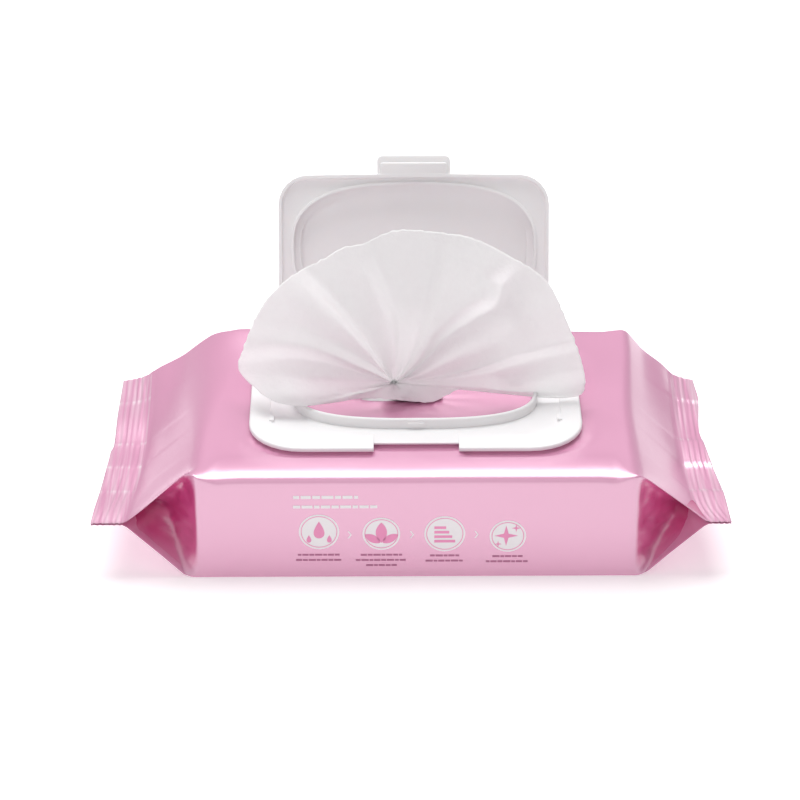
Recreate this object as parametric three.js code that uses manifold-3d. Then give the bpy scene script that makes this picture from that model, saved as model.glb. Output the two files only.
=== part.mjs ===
// A resealable pack of wet wipes: a gusseted film pouch with crimped end fins, a stack of folded
// wipes inside it, one wipe pulled half out through the slot, and a snap-shut dispensing cap.
// Millimetres. X runs along the pack, Y from front to back, +Z up, with the pack standing on Z = 0
// and the origin under the middle of the dispensing ring.
import * as THREE from 'three';
import { mergeVertices } from 'three/addons/utils/BufferGeometryUtils.js';
import Module from 'manifold-3d';

const wasm = await Module();
wasm.setup();

// Driving dimensions of the pouch
const packLength = 158;
const packDepth = 113;
const packHeight = 42;
const film = 0.4;
const topEdgeRadius = 4;
const bottomEdgeRadius = 3;
const endEdgeRadius = 3;
const leftSlope = 22.2;
const rightSlope = 20;
const leftFinWidth = 12.8;
const rightFinWidth = 9.3;
const finBowFront = 3.8;
const finBowBack = 1;
const finBowMiddle = 5;
const finRise = 0.8;
const finFrontInset = 1;
const finBackInset = 5.5;
const frontTuck = 23;
const backTuck = 18.6;
const crimpPitch = 2;
const crimpHeight = 0.7;
const seamFlap = 17;
const seamBack = 3;
const seamGroove = 0.6;
const slotLength = 32;
const slotWidth = 7.5;
const slotLeft = 5.5;
const slotBack = 3.35;

// Driving dimensions of the wipes
const stackEndGap = 3.6;
const stackSideGap = 3.1;
const headspace = 2.6;
const foldLayers = 16;
const foldGroove = 0.5;
const wipeThickness = 0.7;
const pleats = 9;
const pleatDepth = 2.4;
const skirtLength = 68;
const skirtWidth = 48;
const neckWidth = 15;
const slotPlay = 0.6;
const gatherLeft = 8;
const gatherFront = 1;
const gatherRise = 2.7;

// Driving dimensions of the cap's base
const glue = 0.5;
const plateWidth = 122.6;
const plateFront = 39;
const plateBack = 44;
const plateCorner = 20;
const plateThickness = 1.5;
const recessDepth = 0.5;
const recessSideGap = 2.3;
const recessFrontGap = 1;
const ringHalfLength = 45.5;
const ringHalfDepth = 23.9;
const ringWall = 1.6;
const ringHeight = 3.4;
const ringExponent = 2.75;
const nubWidth = 6;
const nubHeight = 1.7;
const nubReach = 0.6;
const stopLength = 4;
const stopHeight = 0.6;
const stopBack = -14.8;
const notchWidth = 31;
const notchCutback = 5.2;
const fingerDip = 0.4;

// Driving dimensions of the lid and its hinge
const lidWidth = 103;
const lidFront = 28.3;
const lidHeight = 7.4;
const lidRim = 3;
const lidCorner = 11;
const lidBow = 0.7;
const lidWall = 1.2;
const lidPanel = 1.4;
const domeRound = 2;
const beadWidth = 1.1;
const beadHeight = 0.8;
const hollowStep = 2.6;
const tabWidth = 27.8;
const tabLength = 6.9;
const tabHeight = 2;
const tabRim = 1.3;
const tabGrip = 0.8;
const hingeBack = 37.1;
const hingeRise = 2.1;
const pinRadius = 1.1;
const pinLength = 1.8;
const knuckleRadius = 2;
const earRadius = 2.5;
const earWidth = 2.5;
const lugWidth = 6;
const lugOffset = 36;
const openAngle = THREE.MathUtils.degToRad(111.5);

// Clearances
const runningGap = 0.3;
const restGap = 0.3;
const overlap = 0.1;

// Levels and places that follow from them
const finLevel = packHeight / 2 + finRise;
const glueTop = packHeight + glue;
const plateTop = glueTop + plateThickness;
const recessFloor = plateTop - recessDepth;
const ringTop = plateTop + ringHeight;
const stackTop = packHeight - film - headspace;
const lidBottom = recessFloor + restGap;
const lidTop = lidBottom + lidHeight;
const panelUnder = lidTop - lidPanel;
const rimTop = lidBottom + lidRim;
const rimUnder = rimTop - lidPanel;
const hingeLevel = plateTop + hingeRise;
const lidRise = rimTop - hingeLevel;

// The open lid leans back until its rear edge stands on the plate behind the hinge
const stopGap = hingeRise - restGap;
const lidBackOffset = (lidRise * Math.cos(openAngle) + stopGap) / Math.sin(openAngle);
const lidBack = hingeBack + lidBackOffset;

// A closed outline in plan, or in section, is a list of Vector2 points that runs anticlockwise.
function roundedRectangle(left, right, low, high, radii, inset = 0, steps = 6) {
  const corners = [
    [right, high, radii[0], 0],
    [left, high, radii[1], 1],
    [left, low, radii[2], 2],
    [right, low, radii[3], 3],
  ];
  const points = [];
  for (const [cornerX, cornerY, radius, quarter] of corners) {
    const round = Math.max(radius - inset, 0.05);
    const centreX = cornerX - Math.sign(cornerX - (left + right) / 2) * (inset + round);
    const centreY = cornerY - Math.sign(cornerY - (low + high) / 2) * (inset + round);
    for (let step = 0; step <= steps; step += 1) {
      const angle = (quarter + step / steps) * Math.PI / 2;
      points.push(new THREE.Vector2(centreX + round * Math.cos(angle), centreY + round * Math.sin(angle)));
    }
  }
  return points;
}

function oval(halfLength, halfDepth, exponent = ringExponent, count = 64) {
  const points = [];
  for (let index = 0; index < count; index += 1) {
    const angle = index / count * 2 * Math.PI;
    const c = Math.cos(angle);
    const s = Math.sin(angle);
    const x = Math.sign(c) * Math.abs(c) ** (2 / exponent);
    const y = Math.sign(s) * Math.abs(s) ** (2 / exponent);
    points.push(new THREE.Vector2(halfLength * x, halfDepth * y));
  }
  return points;
}

// Ways of standing an outline up in space
const atZ = (outline, z) => outline.map((p) => new THREE.Vector3(p.x, p.y, z));
const atX = (outline, x) => outline.map((p) => new THREE.Vector3(x, p.x, p.y));
const atY = (outline, y) => outline.map((p) => new THREE.Vector3(p.x, y, p.y));

function newellNormal(ring) {
  const normal = new THREE.Vector3();
  ring.forEach((point, index) => {
    const next = ring[(index + 1) % ring.length];
    normal.add(new THREE.Vector3().crossVectors(point, next));
  });
  return normal;
}

function middle(ring) {
  const sum = new THREE.Vector3();
  ring.forEach((point) => sum.add(point));
  return sum.divideScalar(ring.length);
}

// Triangles that fill a flat ring, wound so that they face along the given direction
function flatCap(ring, facing) {
  const normal = newellNormal(ring);
  const sizes = [Math.abs(normal.x), Math.abs(normal.y), Math.abs(normal.z)];
  const drop = sizes.indexOf(Math.max(...sizes));
  const kept = [0, 1, 2].filter((axis) => axis !== drop);
  const flat = ring.map((p) => new THREE.Vector2(p.getComponent(kept[0]), p.getComponent(kept[1])));
  const faces = THREE.ShapeUtils.triangulateShape(flat, []);
  return faces.map(([a, b, c]) => {
    const ab = new THREE.Vector3().subVectors(ring[b], ring[a]);
    const ac = new THREE.Vector3().subVectors(ring[c], ring[a]);
    return ab.cross(ac).dot(facing) > 0 ? [a, b, c] : [a, c, b];
  });
}

// Triangles that close the end of a thin sheet, whose ring is a row of points and the row behind it
function edgeCap(ring, facing, isStart) {
  const faces = [];
  for (let index = 0; index < ring.length / 2 - 1; index += 1) {
    const behind = ring.length - 1 - index;
    const quad = [index, index + 1, behind - 1, behind];
    if (isStart) {
      quad.reverse();
    }
    faces.push([quad[0], quad[1], quad[2]], [quad[0], quad[2], quad[3]]);
  }
  return faces;
}

// A closed skin through rings that all have the same number of points
function loft(rings, cap = flatCap) {
  const along = new THREE.Vector3().subVectors(middle(rings[1]), middle(rings[0]));
  const turned = newellNormal(rings[0]).dot(along) < 0 && cap === flatCap;
  const ordered = turned ? rings.map((ring) => [...ring].reverse()) : rings;
  const count = ordered[0].length;
  const positions = ordered.flat().flatMap((p) => [p.x, p.y, p.z]);
  const indices = [];
  for (let row = 0; row < ordered.length - 1; row += 1) {
    for (let index = 0; index < count; index += 1) {
      const a = row * count + index;
      const b = row * count + (index + 1) % count;
      indices.push(a, b, b + count, a, b + count, a + count);
    }
  }
  const last = ordered.length - 1;
  const back = new THREE.Vector3().subVectors(middle(ordered[0]), middle(ordered[1]));
  const front = new THREE.Vector3().subVectors(middle(ordered[last]), middle(ordered[last - 1]));
  cap(ordered[0], back, true).forEach((face) => indices.push(...face));
  cap(ordered[last], front, false).forEach((face) => indices.push(...face.map((i) => i + last * count)));
  const geometry = new THREE.BufferGeometry();
  geometry.setAttribute('position', new THREE.Float32BufferAttribute(positions, 3));
  geometry.setIndex(indices);
  return geometry;
}

function solid(geometry) {
  const bare = geometry.clone();
  bare.deleteAttribute('normal');
  bare.deleteAttribute('uv');
  const merged = mergeVertices(bare, 1e-5);
  const mesh = new wasm.Mesh({
    numProp: 3,
    vertProperties: new Float32Array(merged.attributes.position.array),
    triVerts: new Uint32Array(merged.index.array),
  });
  return new wasm.Manifold(mesh);
}

function geometryOf(manifold) {
  const mesh = manifold.getMesh();
  const geometry = new THREE.BufferGeometry();
  geometry.setAttribute('position', new THREE.Float32BufferAttribute(mesh.vertProperties, 3));
  geometry.setIndex([...mesh.triVerts]);
  geometry.computeVertexNormals();
  return geometry;
}

const joined = (parts) => parts.reduce((sum, part) => sum.add(part));

// A slab over an outline that is given as a function of its inset, with rounded edges
function slab(outlineAt, z0, z1, bottomRound = 0, topRound = 0, steps = 3) {
  const rings = [];
  for (let step = 0; step <= steps && bottomRound > 0; step += 1) {
    const angle = step / steps * Math.PI / 2;
    const inset = bottomRound * (1 - Math.sin(angle));
    rings.push(atZ(outlineAt(inset), z0 + bottomRound * (1 - Math.cos(angle))));
  }
  if (bottomRound === 0) {
    rings.push(atZ(outlineAt(0), z0));
  }
  for (let step = 0; step <= steps && topRound > 0; step += 1) {
    const angle = step / steps * Math.PI / 2;
    const inset = topRound * (1 - Math.cos(angle));
    rings.push(atZ(outlineAt(inset), z1 - topRound * (1 - Math.sin(angle))));
  }
  if (topRound === 0) {
    rings.push(atZ(outlineAt(0), z1));
  }
  return solid(loft(rings));
}

function block(x0, x1, y0, y1, z0, z1) {
  const box = new THREE.BoxGeometry(x1 - x0, y1 - y0, z1 - z0);
  box.translate((x0 + x1) / 2, (y0 + y1) / 2, (z0 + z1) / 2);
  return solid(box);
}

function rodAlongX(x0, x1, y, z, radius, sides = 16) {
  const rod = new THREE.CylinderGeometry(radius, radius, x1 - x0, sides);
  rod.rotateZ(Math.PI / 2);
  rod.translate((x0 + x1) / 2, y, z);
  return solid(rod);
}

const ovalPrism = (halfLength, halfDepth, z0, z1) =>
  solid(loft([atZ(oval(halfLength, halfDepth), z0), atZ(oval(halfLength, halfDepth), z1)]));

// FILM POUCH

// The two ends differ a little, as the machine cut them
const ends = [
  { side: -1, slopeRun: leftSlope, finWidth: leftFinWidth },
  { side: 1, slopeRun: rightSlope, finWidth: rightFinWidth },
];
const gussetLayers = 4;
const panelLayers = 2;
const seamLayers = 3.5;
const rootLayers = 5;
const rootThickness = rootLayers * film;
const finFront = -packDepth / 2 + finFrontInset;
const finBack = packDepth / 2 - finBackInset;

// The pouch's section at a place along X. Past the end edge it narrows into the flat fin, and
// tuck is how far the side walls have moved in, which only the inner skin follows.
function pouchSection(x, inset, tuckShare) {
  const past = Math.max(Math.abs(x) - packLength / 2, 0) / (x < 0 ? leftSlope : rightSlope);
  const endRound = Math.max(Math.abs(x) - packLength / 2 + endEdgeRadius, 0) / endEdgeRadius;
  const softened = past > 0 ? endEdgeRadius / 4 * (1 - past) : endEdgeRadius / 4 * endRound ** 2;
  const low = THREE.MathUtils.lerp(0, finLevel - rootThickness / 2, past) + (past > 0 ? softened : 0);
  const high = THREE.MathUtils.lerp(packHeight, finLevel + rootThickness / 2, past) - softened;
  const front = THREE.MathUtils.lerp(-packDepth / 2, finFront, past) + frontTuck * past * tuckShare;
  const back = THREE.MathUtils.lerp(packDepth / 2, finBack, past) - backTuck * past * tuckShare;
  const shrink = Math.max(1 - past * 4, 0.12);
  const top = topEdgeRadius * shrink;
  const bottom = bottomEdgeRadius * shrink;
  return atX(roundedRectangle(front, back, low, high, [top, top, bottom, bottom], inset, 4), x);
}

function pouchSkin(inset, tuckShare, reach) {
  const [left, right] = ends.map(({ side, slopeRun }) => {
    const past = [reach, 0.8, 0.6, 0.4, 0.2, 0.08, 0].map((share) => packLength / 2 + share * slopeRun);
    past.push(packLength / 2 - endEdgeRadius / 2, packLength / 2 - endEdgeRadius);
    return past.map((x) => side * x);
  });
  const stations = [...left, ...right.reverse()];
  return solid(loft(stations.map((x) => pouchSection(x, inset, tuckShare))));
}

// The gusset tucked between the two slopes at one corner: it starts as nothing at the pack's
// vertical edge and ends as deep as the tuck at the fin, where it closes up.
function gusset(side, end) {
  const toFront = side < 0;
  const rings = [];
  for (const share of [0, 0.5, 0.985]) {
    const x = end.side * (packLength / 2 + share * end.slopeRun);
    const low = THREE.MathUtils.lerp(0, finLevel - rootThickness / 2, share) + 2 * film;
    const high = THREE.MathUtils.lerp(packHeight, finLevel + rootThickness / 2, share) - 2 * film;
    const edge = THREE.MathUtils.lerp(side * packDepth / 2, toFront ? finFront : finBack, share);
    const deep = edge - side * (toFront ? frontTuck : backTuck) * share;
    const outside = side * (packDepth / 2 + 5);
    const ring = [[deep, low], [outside, low], [outside, high], [deep, high]];
    rings.push(ring.map(([y, z]) => new THREE.Vector3(x, y, z)));
  }
  return solid(loft(rings));
}

// A fin's section across its ridges, at one place along Y
function crimpedSection(end, y, thickness) {
  const { side, slopeRun, finWidth } = end;
  const samples = Math.round(finWidth / crimpPitch * 4);
  const start = packLength / 2 + slopeRun - film;
  const line = [];
  for (let index = 0; index <= samples; index += 1) {
    const along = index / samples;
    const wave = Math.sin(along * finWidth / crimpPitch * 2 * Math.PI);
    const x = side * (start + along * (finWidth + film));
    line.push(new THREE.Vector2(x, finLevel + wave * crimpHeight / 2 * Math.min(along * 4, 1)));
  }
  const upper = line.map((p) => new THREE.Vector2(p.x, p.y + thickness / 2));
  const lower = line.map((p) => new THREE.Vector2(p.x, p.y - thickness / 2)).reverse();
  return atY([...upper, ...lower], y);
}

// The fin is thick where the gussets and the folded seam are sealed into it
function fin(end) {
  const frontStep = finFront + frontTuck;
  const backStep = finBack - backTuck;
  const flapFront = seamBack - seamFlap;
  const steps = [
    [finFront + film, gussetLayers],
    [frontStep, gussetLayers],
    [frontStep + film, panelLayers],
    [flapFront - film, panelLayers],
    [flapFront, seamLayers],
    [seamBack, seamLayers],
    [seamBack + film, panelLayers],
    [backStep - film, panelLayers],
    [backStep, gussetLayers],
    [finBack - film, gussetLayers],
  ];
  return solid(loft(steps.map(([y, layers]) => crimpedSection(end, y, layers * film))));
}

// The fins bow: their corners reach further out than their middles
function bowFins(geometry) {
  const points = geometry.attributes.position;
  for (let index = 0; index < points.count; index += 1) {
    const x = points.getX(index);
    const y = points.getY(index);
    const { side, slopeRun } = ends[x < 0 ? 0 : 1];
    const past = THREE.MathUtils.clamp((Math.abs(x) - packLength / 2) / slopeRun, 0, 1);
    const off = (y - finBowMiddle) / (packDepth / 2);
    points.setX(index, x + side * past * off ** 2 * (off < 0 ? finBowFront : finBowBack));
  }
  return geometry;
}

function filmPouch() {
  let pouch = pouchSkin(0, 0, 1);
  for (const end of ends) {
    pouch = pouch.subtract(gusset(-1, end)).subtract(gusset(1, end));
  }
  pouch = pouch.subtract(pouchSkin(film, 1, 0.93));
  pouch = joined([pouch, ...ends.map(fin)]);
  const slotMiddle = new THREE.Vector2(-slotLeft, slotBack);
  const slot = oval(slotLength / 2, slotWidth / 2).map((p) => p.add(slotMiddle));
  pouch = pouch.subtract(solid(loft([atZ(slot, stackTop + film), atZ(slot, packHeight + film)])));
  for (const y of [seamBack, seamBack - seamFlap]) {
    const half = seamGroove / 2;
    const reach = packLength / 2 - endEdgeRadius;
    pouch = pouch.subtract(block(-reach, reach, y - half, y + half, -film, film / 2));
  }
  return bowFins(geometryOf(pouch));
}

// WIPES

// The stack's sides show the folded edges of its layers
function wipeStack() {
  const bottom = film + restGap;
  const pitch = (stackTop - bottom) / foldLayers;
  const halfLength = packLength / 2 - film - stackEndGap;
  const halfDepth = packDepth / 2 - film - stackSideGap;
  const outlineAt = (inset) =>
    roundedRectangle(-halfLength, halfLength, -halfDepth, halfDepth, [3, 3, 3, 3], inset, 3);
  const rings = [];
  for (let layer = 0; layer < foldLayers; layer += 1) {
    rings.push(atZ(outlineAt(foldGroove), bottom + layer * pitch));
    rings.push(atZ(outlineAt(0), bottom + (layer + 0.5) * pitch));
  }
  rings.push(atZ(outlineAt(foldGroove), stackTop));
  return geometryOf(solid(loft(rings)));
}

// The free edge of the pulled wipe, from beside the neck on the left, over the fan's top and down
// to the neck on the right. Heights are above the ring's rim.
const rimAboveRing = [
  [-5, -3.5, -2.4],
  [-19, -5, -1.2],
  [-30, -9.5, -0.6],
  [-40.6, -14, 0.9],
  [-53, -12.5, 2],
  [-59.4, -7.5, 4.5],
  [-65.4, -1, 9],
  [-63.5, 3, 15.9],
  [-58.8, 5, 27.5],
  [-45.7, 7, 43],
  [-26.5, 8.8, 53.8],
  [-5.6, 10, 60.4],
  [9.4, 9.8, 59.3],
  [21.2, 9.2, 57.3],
  [34.2, 8.2, 50.8],
  [48.2, 6.8, 41],
  [56.4, 4.6, 24.3],
  [62.7, -0.5, 6.2],
  [61.8, -4, 0.9],
  [44.2, -6.2, 0.9],
  [24, -5.2, 0.8],
  [7.3, -4, -1.4],
];

// The wipe is gathered to a point at the neck, and its pleats open towards the free edge
function wipeFan(neck) {
  const rim = new THREE.CatmullRomCurve3(
    rimAboveRing.map(([x, y, rise]) => new THREE.Vector3(x, y, ringTop + rise)), false, 'centripetal');
  const across = pleats * 8;
  const facing = new THREE.Vector3(0, -0.87, 0.49).normalize();
  const rings = [];
  for (const share of [0.05, 0.18, 0.34, 0.5, 0.67, 0.84, 1]) {
    const row = [];
    for (let index = 0; index <= across; index += 1) {
      const along = index / across;
      const lift = Math.sin(Math.PI * along) ** 0.5;
      const wave = Math.sin(along * pleats * 2 * Math.PI) * pleatDepth / 2 * share * lift;
      const edge = rim.getPointAt(along);
      row.push(neck.clone().lerp(edge, share).addScaledVector(facing, wave));
    }
    const front = row.map((p) => p.clone().addScaledVector(facing, wipeThickness / 2));
    const back = row.map((p) => p.clone().addScaledVector(facing, -wipeThickness / 2)).reverse();
    rings.push([...front, ...back]);
  }
  return solid(loft(rings, edgeCap));
}

// Below the film the wipe spreads out again and lies on the stack
function pulledWipe() {
  const neck = new THREE.Vector3(-gatherLeft, -gatherFront, ringTop + gatherRise);
  const neckDepth = slotWidth - 2 * slotPlay;
  const skirtTop = stackTop + restGap + wipeThickness;
  const levels = [
    [stackTop + restGap, skirtLength, skirtWidth, 0],
    [skirtTop, skirtLength, skirtWidth, 0],
    [skirtTop + film, neckWidth * 1.5, neckDepth * 1.8, 0],
    [packHeight - film, neckWidth, neckDepth, 0],
    [plateTop, neckWidth, neckDepth, 0.3],
    [neck.z - 1.8, neckWidth * 0.9, neckDepth, 0.8],
    [neck.z + 1.2, neckWidth * 0.4, neckDepth * 0.6, 1],
  ];
  const rings = levels.map(([z, width, depth, lean]) => {
    const outline = oval(width / 2, depth / 2, 2.2, 32);
    const x = neck.x * Math.max(lean, 0.1);
    const y = THREE.MathUtils.lerp(slotBack, neck.y, lean);
    return atZ(outline.map((p) => new THREE.Vector2(p.x + x, p.y + y)), z);
  });
  return geometryOf(solid(loft(rings)).add(wipeFan(neck)));
}

// CAP BASE

const plateOutline = (inset) => roundedRectangle(
  -plateWidth / 2, plateWidth / 2, -plateFront, plateBack, Array(4).fill(plateCorner), inset, 8);

const notchFront = -plateFront + notchCutback;

function capAdhesive() {
  const rim = 1.5;
  const layer = slab((inset) => plateOutline(inset + rim), packHeight, glueTop)
    .subtract(ovalPrism(ringHalfLength, ringHalfDepth, packHeight - 1, glueTop + 1))
    .subtract(block(-notchWidth / 2 - rim, notchWidth / 2 + rim, -plateFront - 1, notchFront + rim,
      packHeight - 1, glueTop + 1));
  return geometryOf(layer);
}

// Lid outline in plan, closed: round front corners, small back ones, and a slightly bowed front
function lidOutline(inset, grow = 0, growFront = grow, back = lidBack) {
  const half = lidWidth / 2 + grow;
  const front = -lidFront - growFront;
  const corner = lidCorner + grow;
  const steps = 6;
  const corners = roundedRectangle(-half, half, front, back, [2, 2, corner, corner], inset, steps);
  const edgeStart = 3 * (steps + 1);
  const edge = [1, 2, 3, 4, 5, 6, 7].map((step) =>
    corners[edgeStart - 1].clone().lerp(corners[edgeStart], step / 8));
  const points = [...corners.slice(0, edgeStart), ...edge, ...corners.slice(edgeStart)];
  const centreY = (front + back) / 2;
  return points.map((p) => {
    const bow = p.y < centreY ? lidBow * (p.x / half) ** 2 : 0;
    return new THREE.Vector2(p.x, p.y + bow);
  });
}

// Two ears stand on the plate at each hinge point, with the lid's lug between them
const lugSides = [-1, 1].map((end) => [end * lugOffset - lugWidth / 2, end * lugOffset + lugWidth / 2]);
const earPlaces = lugSides.flatMap(([low, high]) => [
  [low - runningGap - earWidth, low - runningGap],
  [high + runningGap, high + runningGap + earWidth],
]);

function ear([x0, x1]) {
  const outline = [new THREE.Vector2(hingeBack + earRadius, plateTop - recessDepth - overlap)];
  for (let step = 0; step <= 10; step += 1) {
    const angle = step / 10 * Math.PI;
    outline.push(new THREE.Vector2(
      hingeBack + earRadius * Math.cos(angle), hingeLevel + earRadius * Math.sin(angle)));
  }
  outline.push(new THREE.Vector2(hingeBack - earRadius, plateTop - recessDepth - overlap));
  return solid(loft([atX(outline, x0), atX(outline, x1)]));
}

function capBase() {
  const ringInside = [ringHalfLength - ringWall, ringHalfDepth - ringWall];
  const recess = (inset) => lidOutline(inset, recessSideGap, recessFrontGap, hingeBack + restGap);
  let base = slab(plateOutline, glueTop, plateTop, 0, 0.9, 3);
  base = base.subtract(slab(recess, recessFloor, plateTop + 1, 0.3, 0));

  // The oval ring, with its lip rounded over
  const lip = ringWall / 2 - 0.15;
  const ringOutline = (inset) => oval(ringHalfLength - inset, ringHalfDepth - inset);
  base = base.add(slab(ringOutline, recessFloor - overlap, ringTop, 0, lip));
  const bore = [
    [glueTop - 1, 0],
    [ringTop - lip, 0],
    [ringTop - lip * 0.3, lip * 0.45],
    [ringTop + overlap, lip * 1.1],
  ].map(([z, flare]) => atZ(oval(ringInside[0] + flare, ringInside[1] + flare), z));
  base = base.subtract(solid(loft(bore)));

  // The nub on the ring's front snaps into the lid's bead, and two stops centre the lid's walls
  base = base.add(block(-nubWidth / 2, nubWidth / 2, -ringHalfDepth - nubReach, -ringHalfDepth + overlap,
    ringTop - 1.3 - nubHeight, ringTop - 1.3));
  for (const end of [-1, 1]) {
    const outer = end * (lidWidth / 2 + recessSideGap + overlap);
    const inner = end * (lidWidth / 2 + 2 * runningGap);
    base = base.add(block(Math.min(outer, inner), Math.max(outer, inner), stopBack - stopLength, stopBack,
      recessFloor - overlap, plateTop + stopHeight));
  }

  // The finger notch: the plate is cut back under the lid's tab and dips behind the cut
  const halfNotch = notchWidth / 2;
  base = base.subtract(block(-halfNotch, halfNotch, -plateFront - 1, notchFront, glueTop - 1, plateTop + 1));
  const dip = [
    new THREE.Vector2(notchFront - 1, recessFloor - fingerDip),
    new THREE.Vector2(-lidFront + 2, recessFloor),
    new THREE.Vector2(-lidFront + 2, plateTop + 1),
    new THREE.Vector2(notchFront - 1, plateTop + 1),
  ];
  base = base.subtract(solid(loft([atX(dip, -halfNotch), atX(dip, halfNotch)])));

  // Ears for the lid's pins, and a window in the plate under each lug
  earPlaces.forEach((place) => {
    base = base.add(ear(place));
  });
  const bearing = pinRadius + runningGap;
  for (const [low, high] of lugSides) {
    base = base.subtract(rodAlongX(low - 10, high + 10, hingeBack, hingeLevel, bearing));
    base = base.subtract(block(low - runningGap, high + runningGap, hingeBack - earRadius,
      hingeBack + earRadius, glueTop - 1, plateTop + 1));
  }
  return geometryOf(base);
}

// LID, drawn shut and about its hinge's axis, so that its group can open it

const toHinge = (geometry) => geometry.translate(0, -hingeBack, -hingeLevel);

function lug([x0, x1]) {
  const knuckle = rodAlongX(x0, x1, hingeBack, hingeLevel, knuckleRadius, 24);
  return knuckle.add(rodAlongX(x0 - pinLength, x1 + pinLength, hingeBack, hingeLevel, pinRadius));
}

// The tab's plate, with the raised grip under it that a finger lifts
function tab() {
  const half = tabWidth / 2;
  const tip = -lidFront - tabLength;
  const low = rimTop - tabHeight;
  const outline = (inset) =>
    roundedRectangle(-half, half, tip, -lidFront + lidWall / 2, [0.1, 0.1, 2, 2], inset, 4);
  const grip = (inset) => roundedRectangle(-half + tabRim, half - tabRim, tip + 2 * tabRim,
    -lidFront + lidWall / 2, [0.1, 0.1, 0.8, 0.8], inset, 3);
  return slab(outline, low, rimTop, 0.3, 0.8).add(slab(grip, low - tabGrip, low + overlap, 0.4, 0));
}

function lid() {
  const fit = runningGap + lidPanel;
  const domeOutline = (inset) => oval(ringHalfLength + fit - inset, ringHalfDepth + fit - inset);
  let shell = slab((inset) => lidOutline(inset), lidBottom, rimTop, 0, 1.2);
  shell = shell.subtract(slab((inset) => lidOutline(inset + lidWall), lidBottom - 1, rimUnder, 0, 1));

  // Behind the hinge only the panel is left, so that the lid can swing past the plate
  shell = shell.subtract(block(-lidWidth, lidWidth, hingeBack, lidBack + 1, lidBottom - 1, rimUnder));

  // The dome over the base's ring, with a bead round its mouth and a step inside it
  shell = shell.add(slab(domeOutline, rimUnder + overlap, lidTop, 0, domeRound, 5));
  const beadOutline = (inset) => oval(ringHalfLength + runningGap + beadWidth - inset,
    ringHalfDepth + runningGap + beadWidth - inset);
  shell = shell.add(slab(beadOutline, rimUnder - beadHeight, rimUnder + overlap, 0.3, 0));
  shell = shell.subtract(ovalPrism(ringHalfLength + runningGap, ringHalfDepth + runningGap,
    lidBottom - 1, ringTop + runningGap));
  shell = shell.subtract(ovalPrism(ringHalfLength + runningGap - hollowStep,
    ringHalfDepth + runningGap - hollowStep, lidBottom - 1, panelUnder));

  // A catch in the bead for the base's nub
  const catchHalf = nubWidth / 2 + 2 * runningGap;
  shell = shell.subtract(block(-catchHalf, catchHalf, -ringHalfDepth - nubReach - 2 * runningGap,
    -ringHalfDepth, ringTop - 1.3 - nubHeight - runningGap, ringTop - 1));

  // The base's ears stand in gaps in the back edge, with the lid's knuckles between them
  for (const [low, high] of lugSides) {
    const reach = runningGap * 2 + earWidth;
    shell = shell.subtract(block(low - reach, high + reach, hingeBack - earRadius - runningGap,
      lidBack + 1, lidBottom - 1, lidTop + 1));
    shell = shell.add(block(low, high, hingeBack - earRadius - runningGap - overlap, hingeBack,
      rimUnder, rimTop - overlap));
    shell = shell.add(lug([low, high]));
  }
  return toHinge(geometryOf(shell.add(tab())));
}

// ASSEMBLY

const finish = (name, color, roughness) =>
  new THREE.MeshStandardMaterial({ name, color, roughness, metalness: 0 });
const pinkFilm = finish('pearl_pink_film', '#e79bc0', 0.32);
const softWipe = finish('nonwoven_white', '#eceaea', 0.95);
const clearGlue = finish('hot_melt_glue', '#f3efe9', 0.4);
const whiteCap = finish('white_polypropylene', '#f2eff0', 0.38);

function piece(name, geometry, material) {
  const mesh = new THREE.Mesh(geometry, material);
  mesh.name = name;
  return mesh;
}

const pack = new THREE.Group();
pack.add(
  piece('film_pouch', filmPouch(), pinkFilm),
  piece('wipe_stack', wipeStack(), softWipe),
  piece('pulled_wipe', pulledWipe(), softWipe),
  piece('cap_adhesive', capAdhesive(), clearGlue),
  piece('cap_base', capBase(), whiteCap),
);

const lidOnHinge = new THREE.Group();
lidOnHinge.position.set(0, hingeBack, hingeLevel);
lidOnHinge.rotation.x = -openAngle;
lidOnHinge.add(piece('lid', lid(), whiteCap));
pack.add(lidOnHinge);

export default pack;
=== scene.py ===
# %% [markdown]
# A soft pack of wet wipes stands on its flat underside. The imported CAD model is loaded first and
# stays as it is: it says where everything is and how the lid turns. The looks are built around it.
# Shapes are worked out in millimetres here, because that is how a pack is drawn, and each mesh is
# scaled to metres as its last step.

# %% The frame
import math

import bmesh
import bpy
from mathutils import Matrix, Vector, noise


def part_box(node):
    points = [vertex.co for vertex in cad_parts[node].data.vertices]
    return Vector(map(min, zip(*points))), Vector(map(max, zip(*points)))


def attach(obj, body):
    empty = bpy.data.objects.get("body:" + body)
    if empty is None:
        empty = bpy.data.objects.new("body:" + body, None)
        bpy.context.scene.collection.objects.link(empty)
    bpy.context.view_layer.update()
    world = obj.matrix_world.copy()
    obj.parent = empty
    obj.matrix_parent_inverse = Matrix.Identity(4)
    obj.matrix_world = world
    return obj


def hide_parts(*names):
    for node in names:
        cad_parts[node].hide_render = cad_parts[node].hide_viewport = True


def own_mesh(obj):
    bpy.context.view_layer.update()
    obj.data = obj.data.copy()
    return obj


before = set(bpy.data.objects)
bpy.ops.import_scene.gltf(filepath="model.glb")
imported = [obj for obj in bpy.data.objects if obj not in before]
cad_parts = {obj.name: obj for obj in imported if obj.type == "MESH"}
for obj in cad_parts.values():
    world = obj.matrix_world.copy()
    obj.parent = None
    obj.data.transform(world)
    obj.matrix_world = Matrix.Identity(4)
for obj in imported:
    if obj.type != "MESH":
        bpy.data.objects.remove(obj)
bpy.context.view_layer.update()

MM = 0.001
pouch_low, pouch_high = (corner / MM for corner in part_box("film_pouch"))
print("pouch from", [round(v, 1) for v in pouch_low], "to", [round(v, 1) for v in pouch_high])

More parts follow.
